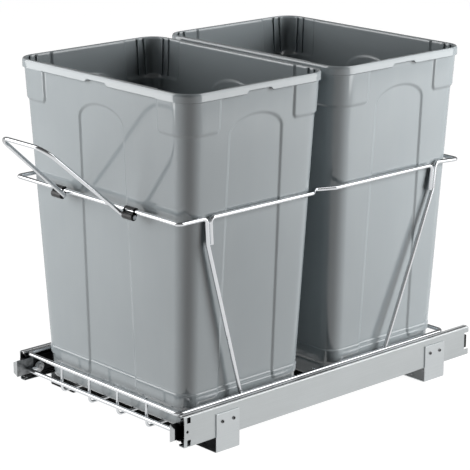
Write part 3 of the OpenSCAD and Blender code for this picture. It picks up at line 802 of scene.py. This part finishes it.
def weld_beads():
    places = []
    for x in TRAY_X:
        for y, way in ((RIM_FRONT, 1), (RIM_REAR, -1)):
            places.append((x, y + way * WIRE_D / 2, RIM_Z))
            places.append((x, y + way * WIRE_D / 2, LOWER_Z))
        for y in CROSS_Y:
            places.append((x, y, (TRAY_Z + CROSS_Z) / 2))
    for s in (-1, 1):
        for y in CROSS_Y:
            places.append((s * (RIM_X - WIRE_D / 2), y, RIM_Z))
        for foot in (FRONT_LEG[0], REAR_LEG[0]):
            places.append((s * RIM_X, foot, FOOT_Z - BEAD_SINK))
    arc = np.linspace(-BEAD_ARC, BEAD_ARC, BEAD_RINGS)
    bead = turned([(BEAD_L * math.sin(a), BEAD_R * math.cos(a), 0) for a in arc], BEAD_SIDES)
    repeated("weld_beads", bead, [(p, 0.0) for p in places], BEAD_TREE, "chromed_wire", "carriage")


# Screws, with profiles as shares of height and radius, or of a diameter

HEAD_PROFILE = ((0.0, 0.97), (0.12, 1.0), (0.55, 1.0), (0.85, 0.93), (1.0, 0.8))
TIP_SHARE = 0.4
POINT_SHARE = 0.2
HEAD_DARK = 0.7
SOCKET_CORNERS = 6
SOCKET_RINGS = 3


def screw_form(shank_d, shank_l, head_d, head_h, socket_h):
    """A pan head screw along X with its seat at 0 and a socket in its head.

    The points of the socket are marked as hollow, for black as painted shade, and all others as partly
    so, which darkens the head.
    """
    socket_r = SOCKET_D / 2
    shank = [(-shank_l, shank_d * TIP_SHARE, 0), (SHANK_TIP - shank_l, shank_d / 2, 0),
             (0.0, shank_d / 2, 0)]
    head = [(head_h * up, head_d / 2 * out, 0) for up, out in HEAD_PROFILE]
    socket = [(head_h, socket_r + SOCKET_EDGE, 0), (head_h - SOCKET_EDGE, socket_r, SOCKET_CORNERS),
              (head_h - socket_h, socket_r, SOCKET_CORNERS),
              (head_h - socket_h - SOCKET_POINT, SOCKET_D * POINT_SHARE, 0)]
    points, faces = turned(shank + head + socket, SCREW_SIDES)
    inner = SOCKET_RINGS * SCREW_SIDES
    return points, faces, [HEAD_DARK] * (len(points) - inner) + [1.0] * inner


def screws():
    small = screw_form(SCREW_D, SCREW_L, HEAD_D, HEAD_H, SOCKET_H)
    places = []
    for side, turn in ((1, 0.0), (-1, math.pi)):
        for end in (-1, 1):
            for way in (-1, 1):
                y = end * BRACKET_Y + way * SCREW_GAP / 2
                places.append(((side * BRACKET_X, y, SLIDE_MID), turn))
    repeated("slide_screws_turned", small, places, SCREW_TREE, "screw_steel", "base", "slide_screws")
    large = screw_form(EYE_SCREW_D, EYE_SCREW_L, EYE_HEAD_D, EYE_HEAD_H, EYE_SOCKET_H)[:2]
    places = []
    for side, turn in ((1, math.pi), (-1, 0.0)):
        for y in (RIM_FRONT + EYE_BACK, RIM_REAR - EYE_BACK):
            places.append(((side * EYE_X, y, LOWER_Z), turn))
    repeated("carriage_screws_turned", large, places, SCREW_TREE, "screw_steel", "carriage",
             "carriage_screws")


def add_eye(form, y, side):
    """Adds a flat eye with a screw hole, against the drawer member of one side."""
    low, high = sorted((side * EYE_X, side * DRAWER_IN))
    r = EYE_D / 2
    hole = EYE_SCREW_D / 2 + EYE_ROOM
    rings = [(low, hole), (low, r - EYE_EDGE), (low + EYE_EDGE, r),
             (high - EYE_EDGE, r), (high, r - EYE_EDGE), (high, hole)]
    loops = []
    for x, radius in rings:
        loop = []
        for k in range(EYE_SIDES):
            a = 2 * math.pi * k / EYE_SIDES
            place = (x, y + radius * math.cos(a), LOWER_Z + radius * math.sin(a))
            loop.append(form.verts.new([c * MM for c in place]))
        loops.append(loop)
    for i, here in enumerate(loops):
        following = loops[(i + 1) % len(loops)]
        for k in range(EYE_SIDES):
            n = (k + 1) % EYE_SIDES
            face = form.faces.new((here[k], here[n], following[n], following[k]))
            face.material_index = 1


def lower_wire(name, y, inward, node):
    """An end wire whose ends go back to flat eyes against the drawer members."""
    eye = y + inward * EYE_BACK
    side = [(RIM_X, eye - inward * EYE_TIP, LOWER_Z), (RIM_X, y, LOWER_Z)]
    line = bent(side + mirrored(side), [0, LOWER_R, LOWER_R, 0])
    mesh = wire_mesh(name, [line], WIRE_D, WIRE_SIDES)
    form = bmesh.new()
    form.from_mesh(mesh)
    for end in (-1, 1):
        add_eye(form, eye, end)
    form.to_mesh(mesh)
    form.free()
    smoothed(mesh, SHARP_EYE)
    mesh.materials.append(FINISHES["screw_steel"])
    finished(name, mesh, "carriage", "chromed_wire", node)


# Sheet pieces, with near distances in millimetres and the degrees that count as flat

SAME_POINT = 0.01
NEAR_BEND = 0.05
FLAT_ANGLE = 1
NORMAL_WEIGHT = 100


def on_bend(vert):
    """Whether a corner of a cabinet member lies on one of its two outer bends."""
    across = abs(abs(vert.co.x) - SLIDE_X * MM)
    up = min(abs(vert.co.z - SLIDE_LOW * MM), abs(vert.co.z - SLIDE_HIGH * MM))
    return max(across, up) < NEAR_BEND * MM


def round_edges(form, edges, width, steps):
    bmesh.ops.bevel(form, geom=edges, offset=width * MM, offset_type="OFFSET", segments=steps,
                    profile=0.5, affect="EDGES", clamp_overlap=False)


def evenly_shaded(name, mesh):
    """The mesh with normals that follow its large flat faces."""
    holder = bpy.data.objects.new(name + "_form", mesh)
    bpy.context.scene.collection.objects.link(holder)
    even = holder.modifiers.new("even", "WEIGHTED_NORMAL")
    even.keep_sharp = True
    even.weight = NORMAL_WEIGHT
    return taken(name, holder)


def softened(node, width, finish, bend=0.0):
    """A copy of a CAD node with rounded edges, and with a radius on its sheet's outer bends."""
    form = bmesh.new()
    form.from_mesh(nodes[node].data)
    bmesh.ops.remove_doubles(form, verts=form.verts, dist=SAME_POINT * MM)
    bmesh.ops.dissolve_limit(form, angle_limit=math.radians(FLAT_ANGLE), verts=form.verts,
                             edges=form.edges)
    if bend:
        bends = [e for e in form.edges if on_bend(e.verts[0]) and on_bend(e.verts[1])]
        round_edges(form, bends, bend, BEND_STEPS)
    limit = math.radians(SHARP_SHEET)
    sharp = [e for e in form.edges if len(e.link_faces) == 2 and e.calc_face_angle(0) > limit]
    round_edges(form, sharp, width, EDGE_STEPS)
    name = node + "_rounded"
    mesh = bpy.data.meshes.new(name)
    form.to_mesh(mesh)
    form.free()
    smoothed(mesh, SHARP_SHEET)
    mesh.materials.append(FINISHES[finish])
    finished(name, evenly_shaded(name, mesh), BODY_OF[node], SLOT_OF[node], node)


# Bins, as rings of columns. A side has its way out and its way along, a range its end and step

SIDES = (((0, -1), (1, 0)), ((1, 0), (0, 1)), ((0, 1), (-1, 0)), ((-1, 0), (0, -1)))
END_SHARES = (0.25, 0.5, 0.75, 1.0)
COLUMN_RANGES = ((19.5, 2.4), (23.5, 1.35), (42.0, 2.4), (56.0, 1.1))
WIDE_RANGES = ((70.0, 2.3), (BIN_W / 2 - PAD_W - PAD_MARGIN, 7.0))
NARROW_RANGES = ((BIN_D / 2 - PAD_W - PAD_MARGIN, 2.3),)
PAD_EDGE_STEP = 1.0
OUTER_RANGES = ((54.0, 6.0), (69.0, 1.1), (80.0, 0.5), (92.0, 1.5), (422.0, 11.0), (455.0, 1.15),
                (477.0, 3.5), (478.0, 1.0))
INNER_RANGES = ((66.0, 7.0), (86.0, 2.0), (422.0, 14.0), (455.0, 1.8), (487.0, 6.0))
FAR = 99.0

# Rings of the rim as drop and inset, and of the edge that a bin stands on as lift and inset

BAND_PROFILE = ((5.5, 0.0), (2.9, 0.0), (2.5, 0.1), (0.6, 0.95), (0.2, 1.3), (0.0, 2.0))
LIP_PROFILE = ((0.0, 1.4), (0.3, 0.5), (1.4, 0.0))
STAND_PROFILE = ((1.6, 15.5), (1.2, 14.2), (0.2, 13.0), (0.0, 11.5))


def stepped(low, ranges):
    """Places from low through each range in even steps near the one it names."""
    places = []
    for high, step in ranges:
        count = max(1, round((high - low) / step))
        places += [low + (high - low) * i / count for i in range(count)]
        low = high
    return places + [low]


OUTER_HEIGHTS = stepped(BIN_Z + FLOOR_BEVEL, OUTER_RANGES)
INNER_HEIGHTS = stepped(BIN_Z + INNER_LOW, INNER_RANGES)


class Outline:
    """Columns round the bin: on a side, near its end, or on a corner."""

    def __init__(self):
        self.pad_edges = [size / 2 - PAD_W for size in (BIN_W, BIN_D)]
        self.limits = [edge + PAD_MARGIN for edge in self.pad_edges]
        rows = []
        for s in range(4):
            limit = self.limits[s % 2]
            plain = (WIDE_RANGES, NARROW_RANGES)[s % 2]
            half = stepped(0.0, COLUMN_RANGES + plain + ((limit, PAD_EDGE_STEP),))
            rows += [(s, -limit, -share, 0.0) for share in reversed(END_SHARES)]
            rows += [(s, -u, 0.0, 0.0) for u in reversed(half[1:])]
            rows += [(s, u, 0.0, 0.0) for u in half]
            rows += [(s, limit, share, 0.0) for share in END_SHARES]
            rows += [(s, limit, 1.0, math.pi / 2 * k / CORNER_STEPS) for k in range(1, CORNER_STEPS)]
        side, self.fixed, self.share, self.angle = np.array(rows).T
        self.side = side.astype(int)
        self.out = np.array([SIDES[s][0] for s in self.side], float)
        self.along = np.array([SIDES[s][1] for s in self.side], float)
        self.across = self.side % 2 == 1

    def ring(self, half_x, half_y, radius, z, offset):
        """Points of one outline with half sizes and corner radius, moved out by offset."""
        offset = np.broadcast_to(offset, self.side.shape)
        height = np.broadcast_to(z, self.side.shape)
        reach = np.where(self.across, half_x, half_y)
        straight = np.where(self.across, half_y, half_x) - radius
        limit = np.where(self.across, self.limits[1], self.limits[0])
        u = self.fixed + self.share * (straight - limit)
        on_side = self.out * (reach + offset)[:, None] + self.along * u[:, None]
        heading = self.out * np.cos(self.angle)[:, None] + self.along * np.sin(self.angle)[:, None]
        centre = self.out * (reach - radius)[:, None] + self.along * straight[:, None]
        on_corner = centre + heading * (radius + offset)[:, None]
        flat = np.where((self.angle > 0)[:, None], on_corner, on_side)
        return np.column_stack([flat, height])


OUTLINE = Outline()


def half_sizes(z):
    """Half width, half depth and corner radius of the plain tapered wall at a height."""
    fall = (BIN_TOP - z) / (BIN_TOP - BIN_Z)
    return (BIN_W / 2 - OVER_X - TAPER_X * fall, BIN_D / 2 - OVER_Y - TAPER_Y * fall,
            CORNER_TOP + (CORNER_LOW - CORNER_TOP) * fall)


def wall_ring(z, offset):
    return OUTLINE.ring(*half_sizes(z), z, offset)


def band_ring(z, inset):
    return OUTLINE.ring(BIN_W / 2, BIN_D / 2, BAND_R, z, -inset)


def eased(distance, width):
    """1 inside an edge, 0 outside, with a soft slope as wide as width."""
    t = np.clip(0.5 - distance / width, 0, 1)
    return t * t * (3 - 2 * t)


def arch_distance(u, z):
    """Distance out of the arched panel for places on a wall at one height."""
    a = np.abs(u)
    rise = np.clip((z - STEP_Z) / (SPRING_Z - STEP_Z), 0, 1)
    side = a - (ARCH_LOW + (ARCH_TOP - ARCH_LOW) * rise)
    if z <= SPRING_Z:
        return side
    v = (z - SPRING_Z) / ARCH_RISE
    w = a / ARCH_TOP
    f = np.sqrt(w * w + v * v)
    steep = np.sqrt((w / ARCH_TOP) ** 2 + (v / ARCH_RISE) ** 2) / f
    return (f - 1) / steep


def joined(a, b, radius):
    """Distance to either of two shapes, with a rounded inner corner."""
    h = np.clip(0.5 + 0.5 * (b - a) / radius, 0, 1)
    return b * (1 - h) + a * h - radius * h * (1 - h)


def pad_share(z):
    """1 on the raised corner pads, 0 elsewhere, for every column at one height."""
    edge = np.where(OUTLINE.across, OUTLINE.pad_edges[1], OUTLINE.pad_edges[0])
    qx = edge - np.abs(OUTLINE.fixed) + PAD_R
    qz = PAD_Z - z + PAD_R
    outside = np.hypot(np.maximum(qx, 0), np.maximum(qz, 0))
    distance = outside + np.minimum(np.maximum(qx, qz), 0) - PAD_R
    return eased(distance, EDGE_W)


def wall_offset(z, panel_in=PANEL_IN):
    """How far the wall stands out of its plain taper at a height, for every column."""
    foot = np.where(OUTLINE.across, SIDE_FOOT_Z, FRONT_FOOT_Z)
    arch = np.where(OUTLINE.share == 0, arch_distance(OUTLINE.fixed, z), FAR)
    panel = eased(joined(arch, z - foot, FOOT_R), EDGE_W)
    step = eased(z - STEP_Z - STEP_H / 2, STEP_H)
    second = np.where(OUTLINE.across, 1 - np.abs(OUTLINE.share), 0.0) * eased(z - SECOND_STEP_Z, STEP_H)
    return PAD_OUT * pad_share(z) - panel_in * panel + STEP_OUT * step + SECOND_STEP_OUT * second


def notch_share():
    """1 in the notch in the middle of each rim, 0 beside it, with a slope between."""
    u = np.abs(OUTLINE.fixed) + FAR * (OUTLINE.share != 0)
    return np.clip(1 - (u - NOTCH_W / 2) / NOTCH_H, 0, 1)


def rim_rings():
    """The turned down rim, from under its flange over the top to the inner edge."""
    pad = pad_share(PAD_FULL_Z)[:, None]
    low = BIN_TOP - BAND_H + NOTCH_H * notch_share()
    under = BIN_TOP - BAND_T - GROOVE_DROP
    foot = BIN_TOP - BAND_H - BAND_CLEAR
    start = wall_ring(foot, wall_offset(foot))
    edge = band_ring(low + BAND_EDGE, 0.0)
    groove = [
        wall_ring(under - GROOVE_DROP, 0.0),
        band_ring(under, BAND_T + GROOVE_R),
        band_ring(under - GROOVE_R, BAND_T),
        band_ring(low + BAND_EDGE, BAND_T),
        band_ring(low, BAND_T / 2),
    ]
    rings = [start]
    for i, ring in enumerate(groove):
        t = (i + 1) / (len(groove) + 1)
        plain = start * (1 - t) + edge * t
        rings.append(ring * (1 - pad) + plain * pad)
    rings.append(edge)
    rings.append(band_ring(low + BAND_SIDE, 0.0))
    for drop, inset in BAND_PROFILE:
        rings.append(band_ring(BIN_TOP - drop, inset))
    inner = wall_offset(BIN_TOP) - BIN_T
    for drop, inset in LIP_PROFILE:
        rings.append(wall_ring(BIN_TOP - drop, inner + inset))
    return rings


def shell_rings():
    """All rings of a bin, from the middle of its underside over the rim to its inner floor."""
    rings = []
    base = wall_offset(BIN_Z + FLOOR_BEVEL)
    for lift, inset in STAND_PROFILE:
        rings.append(wall_ring(BIN_Z + lift, base - inset))
    for k in range(BEVEL_STEPS):
        a = math.pi / 2 * k / BEVEL_STEPS
        rings.append(wall_ring(BIN_Z + FLOOR_BEVEL * (1 - math.cos(a)),
                               base - FLOOR_BEVEL * (1 - math.sin(a))))
    rings += [wall_ring(z, wall_offset(z)) for z in OUTER_HEIGHTS]
    rings += rim_rings()
    rings += [wall_ring(z, wall_offset(z, INNER_PANEL) - BIN_T) for z in reversed(INNER_HEIGHTS)]
    inner = wall_offset(BIN_Z + INNER_LOW, INNER_PANEL) - BIN_T
    for k in range(1, INNER_FLOOR_STEPS):
        a = math.pi / 2 * k / INNER_FLOOR_STEPS
        rings.append(wall_ring(BIN_Z + BIN_T + INNER_R * (1 - math.sin(a)),
                               inner - INNER_R * (1 - math.cos(a))))
    rings.append(wall_ring(BIN_Z + BIN_T, inner - INNER_R - INNER_FLAT))
    return rings


def rib_rings(across, place, way, side):
    """Corners of one stiffening rib in a corner pocket, at several heights."""
    u_middle = (BIN_D if across else BIN_W) / 2 - place
    rings = []
    for z in RIB_HEIGHTS:
        x, y, r = half_sizes(z)
        reach, straight = (x, y - r) if across else (y, x - r)
        for half, out in ((-1, -BIN_T), (1, -BIN_T), (1, RIB_OUT), (-1, RIB_OUT)):
            u = u_middle + half * RIB_W / 2
            depth = reach + out
            if u > straight:
                depth = reach - r + math.sqrt((r + out) ** 2 - (u - straight) ** 2)
            flat = (side * depth, way * u) if across else (way * u, side * depth)
            rings.append((flat[0], flat[1], z))
    return rings


def bin_shell(name, y, body, node):
    rings = shell_rings()
    count = len(OUTLINE.side)
    points = [tuple(p) for ring in rings for p in ring]
    faces = ring_faces(len(rings), count)
    rib_faces = ring_faces(len(RIB_HEIGHTS), 4)
    for across in (False, True):
        for place in RIB_PLACES:
            for way in (-1, 1):
                for side in (-1, 1):
                    first = len(points)
                    points += rib_rings(across, place, way, side)
                    order = -1 if (way * side > 0) == across else 1
                    faces += [tuple(first + i for i in face[::order]) for face in rib_faces]
    mesh = mesh_of(name, [(px, py + y, pz) for px, py, pz in points], faces)
    smoothed(mesh, SHARP_BIN)
    outer = count * (len(rings) - len(INNER_HEIGHTS) - INNER_FLOOR_STEPS)
    # The inside mark tells the finish where to paint shade on the inner walls and make them more matt.
    marked(mesh, "inside", [float(i >= outer) for i in range(len(points))])
    finished(name, mesh, body, "bin_plastic", node)


# Stage, in metres. Shares and levels of light have 1 as white

WHITE = (1.0, 1.0, 1.0, 1.0)
AWAY = (-0.740, 0.673)
FLOOR_HALF = 8.0
FLOOR_TONE = (100, 100, 100)
FLOOR_WHITE = 0.98
FLOOR_GLOSS = 0.9
FLOOR_BEHIND = 0.5
BEHIND_FADE = (0.0, 0.5)
SHADE_TONE = (30, 30, 30)
SHADE_GLOSS = 0.5
SHADE_LOW = (-0.165, -0.214)
SHADE_HIGH = (0.125, 0.225)
SHADE_SOFT = 0.004
SHADE_REACH = 0.12
SHADE_SAMPLES = 8
OPEN_FADE = (0.7, 0.5)
HOLES_LOW = (0.1455, 0.186)
HOLES_HIGH = (0.1555, 0.222)
HOLES_SOFT = 0.001
ROOM_SIDES = 0.3
ROOM_TOP = 0.1
TOP_FADE = (0.3, 0.75)
AMBIENT = 0.01

CAMERA_PLACE = (2.0156, -1.8576, 1.0)
CAMERA_TILT = 74.14
CAMERA_TURN = 47.74
LENS = 151.6
SENSOR = 36.0
CLIP_END = 50.0

# Light panels: place, the point that each faces, width and height, and power.
# The last value is true for a panel that only gloss sees, false for one that gloss doesn't see

PANELS = {
    "left_low_panel": ((-1.15, -1.46, 0.4), (-1.15, 0.0, 0.4), (1.7, 0.8), 33.0, False),
    "left_high_panel": ((-1.15, -1.46, 1.2), (-1.15, 0.0, 1.2), (1.7, 0.8), 17.0, False),
    "left_mirror_panel": ((-1.2, -1.1, 1.18), (-1.2, 0.0, 1.18), (1.7, 2.02), 32.0, True),
    "right_low_panel": ((1.26, 1.3, 0.4), (0.0, 1.3, 0.4), (1.4, 0.8), 35.0, False),
    "right_high_panel": ((1.26, 1.3, 1.2), (0.0, 1.3, 1.2), (1.4, 0.8), 36.0, False),
    "right_mirror_panel": ((1.0, 0.95, 1.18), (0.0, 0.95, 1.18), (1.5, 2.02), 24.0, True),
}


def shade_on_floor(f, x, y):
    """1 on the floor under what stands close over it and in the brackets' holes, 0 elsewhere."""
    open_above = f.node("ShaderNodeAmbientOcclusion", {"samples": SHADE_SAMPLES},
                        {"Distance": SHADE_REACH}, "AO")
    covered = f.between(open_above, *OPEN_FADE)
    under = f.inside((x, y), SHADE_LOW, SHADE_HIGH, SHADE_SOFT) * covered
    return either(under, f.inside((abs(x), abs(y)), HOLES_LOW, HOLES_HIGH, HOLES_SOFT))


def studio_floor():
    """White to the camera, with the part's shade, and a plain grey to the light that it throws back."""
    f = Finish("studio_floor", Roughness=0.9, Specular_IOR_Level=0.1)
    x, y, _ = f.axes()
    shade = shade_on_floor(f, x, y)
    f.set("Base Color", f.mix(shade, linear(*FLOOR_TONE), linear(*SHADE_TONE)))
    behind = f.between(x * AWAY[0] + y * AWAY[1], *BEHIND_FADE)
    in_gloss = FLOOR_GLOSS + behind * (FLOOR_BEHIND - FLOOR_GLOSS)
    seen = f.ray("Is Camera Ray") * FLOOR_WHITE * (1 - shade)
    mirrored_share = f.ray("Is Glossy Ray") * in_gloss * (1 - SHADE_GLOSS * shade)
    glow = f.node("ShaderNodeEmission", None, {"Color": WHITE, "Strength": seen + mirrored_share})
    both = f.node("ShaderNodeAddShader", None, {0: Val(f, f.shader.outputs[0]), 1: glow})
    f.join(f.surface, both)
    return f.material


def floor():
    mesh = bpy.data.meshes.new("studio_floor")
    corners = [(-FLOOR_HALF, -FLOOR_HALF, 0), (FLOOR_HALF, -FLOOR_HALF, 0),
               (FLOOR_HALF, FLOOR_HALF, 0), (-FLOOR_HALF, FLOOR_HALF, 0)]
    mesh.from_pydata(corners, [], [(0, 1, 2, 3)])
    mesh.materials.append(studio_floor())
    obj = bpy.data.objects.new("studio_floor", mesh)
    bpy.context.scene.collection.objects.link(obj)


def world():
    """White to the camera. Gloss sees a grey room that is darker overhead."""
    sky = bpy.data.worlds.new("studio")
    sky.use_nodes = True
    s = Sums(sky.node_tree)
    up = s.axes("Generated")[2]
    room = s.level(s.between(up, *TOP_FADE), ROOM_SIDES, ROOM_TOP)
    lit = s.level(s.ray("Is Glossy Ray"), AMBIENT, room)
    rays = {0: s.ray("Is Camera Ray"), 1: s.ray("Is Transmission Ray")}
    seen = s.node("ShaderNodeMath", {"operation": "MAXIMUM"}, rays)
    glow = s.node("ShaderNodeBackground", None, {"Color": WHITE, "Strength": s.level(seen, lit, 1.0)})
    s.join(s.tree.nodes.new("ShaderNodeOutputWorld").inputs["Surface"], glow)
    bpy.context.scene.world = sky


def panel(name, place, target, size, power, only_gloss):
    light = bpy.data.lights.new(name, "AREA")
    light.shape = "RECTANGLE"
    light.size = size[0]
    light.size_y = size[1]
    light.energy = power
    obj = bpy.data.objects.new(name, light)
    obj.location = place
    obj.rotation_euler = (Vector(target) - Vector(place)).to_track_quat("-Z", "Y").to_euler()
    obj.visible_camera = False
    obj.visible_diffuse = not only_gloss
    obj.visible_glossy = only_gloss
    bpy.context.scene.collection.objects.link(obj)


def camera():
    data = bpy.data.cameras.new("camera")
    data.sensor_width = SENSOR
    data.lens = LENS
    data.clip_end = CLIP_END
    obj = bpy.data.objects.new("camera", data)
    obj.location = CAMERA_PLACE
    obj.rotation_euler = (math.radians(CAMERA_TILT), 0.0, math.radians(CAMERA_TURN))
    bpy.context.scene.collection.objects.link(obj)
    bpy.context.scene.camera = obj


# The scene

bpy.context.scene.view_settings.view_transform = "Standard"
camera()
world()
floor()
for name, row in PANELS.items():
    panel(name, *row)

for node, obj in nodes.items():
    obj.data.materials.clear()
    obj.data.materials.append(FINISHES[SLOT_OF[node]])

tray()
guard("front_guard_bent", FRONT_LEG, GUARD_FRONT, 0.0, "front_guard")
guard("rear_guard_bent", REAR_LEG, GUARD_REAR, REAR_RISE, "rear_guard")
side_guards()
handle()
weld_beads()
lower_wire("lower_front_wire_bent", RIM_FRONT, 1, "lower_front_wire")
lower_wire("lower_rear_wire_bent", RIM_REAR, -1, "lower_rear_wire")
screws()
for node in ("left_handle_clip", "right_handle_clip"):
    softened(node, CLIP_EDGE, "clip_plastic")
for node in ("front_left_bracket", "front_right_bracket", "rear_left_bracket", "rear_right_bracket"):
    softened(node, BRACKET_EDGE, "bracket_zinc")
for side in ("left", "right"):
    softened(side + "_cabinet_member", SLIDE_EDGE, "zinc_sheet", SLIDE_BEND)
    softened(side + "_drawer_member", SLIDE_EDGE, "drawer_zinc")
bin_shell("front_bin_shell", FRONT_BIN_Y, "front_bin", "front_bin")
bin_shell("rear_bin_shell", REAR_BIN_Y, "rear_bin", "rear_bin")
